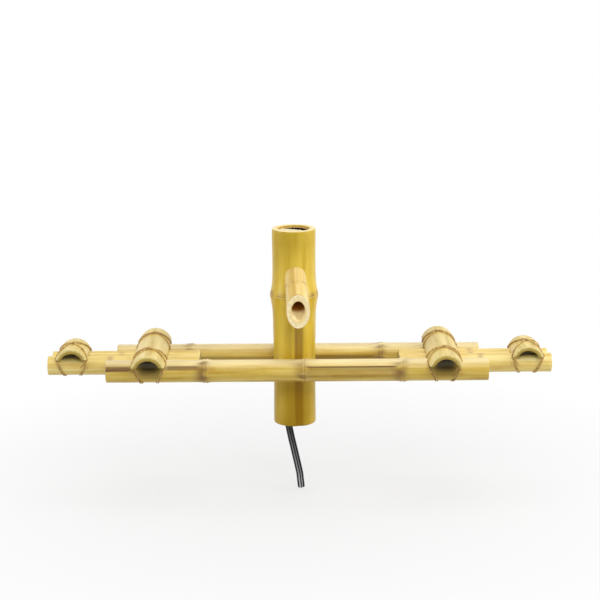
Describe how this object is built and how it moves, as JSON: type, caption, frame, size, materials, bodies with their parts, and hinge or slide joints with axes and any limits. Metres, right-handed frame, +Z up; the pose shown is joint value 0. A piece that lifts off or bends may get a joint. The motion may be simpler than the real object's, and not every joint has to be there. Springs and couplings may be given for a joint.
{
  "type": "pouring bamboo fountain",
  "caption": "Hollow bamboo post with a slanted pouring spout, clasped by bamboo arms that rest on a bowl's rim, with poles that slide out on both sides and lashed half-round saddles.",
  "frame": {"origin": "on the post's axis, in the plane of the bowl's rim that the two long arms rest on", "axes": "+X runs to the right along the arms, +Y to the back, away from the spout, +Z up along the post"},
  "size_m": [0.772, 0.1785, 0.4133],
  "materials": {
    "bamboo_post": "smooth varnished bamboo",
    "bamboo_spout": "smooth varnished bamboo with a sawn end",
    "bamboo_arm": "smooth varnished bamboo",
    "bamboo_slider": "smooth varnished bamboo",
    "bamboo_saddle": "smooth varnished split bamboo",
    "bamboo_slat": "planed split bamboo",
    "dowel": "plain turned dowel",
    "lashing_wire": "tan coated twisted wire",
    "brad": "plain steel",
    "hose": "glossy black",
    "grommet": "matt black"
  },
  "bodies": {
    "stand": {"post": "bamboo_post", "spout": "bamboo_spout", "hose_riser": "hose", "riser_grommet": "grommet", "hose_tail": "hose", "hose_mouth": "hose", "front_arm": "bamboo_arm", "back_arm": "bamboo_arm", "cross_dowel": "dowel", "left_inner_saddle": "bamboo_saddle", "right_inner_saddle": "bamboo_saddle", "left_front_lashing": "lashing_wire", "left_back_lashing": "lashing_wire", "right_front_lashing": "lashing_wire", "right_back_lashing": "lashing_wire", "left_keeper_slat": "bamboo_slat", "right_keeper_slat": "bamboo_slat", "left_keeper_brads": "brad", "right_keeper_brads": "brad"},
    "left_extension": {"left_front_slider": "bamboo_slider", "left_back_slider": "bamboo_slider", "left_outer_saddle": "bamboo_saddle", "left_outer_lashing": "lashing_wire"},
    "right_extension": {"right_front_slider": "bamboo_slider", "right_back_slider": "bamboo_slider", "right_outer_saddle": "bamboo_saddle", "right_outer_lashing": "lashing_wire"}
  },
  "joints": [
    {"name": "left_slide", "type": "slide", "parent": "stand", "child": "left_extension", "axis": [-1, 0, 0], "range_m": [-0.012, 0.028]},
    {"name": "right_slide", "type": "slide", "parent": "stand", "child": "right_extension", "axis": [1, 0, 0], "range_m": [-0.012, 0.028]}
  ]
}
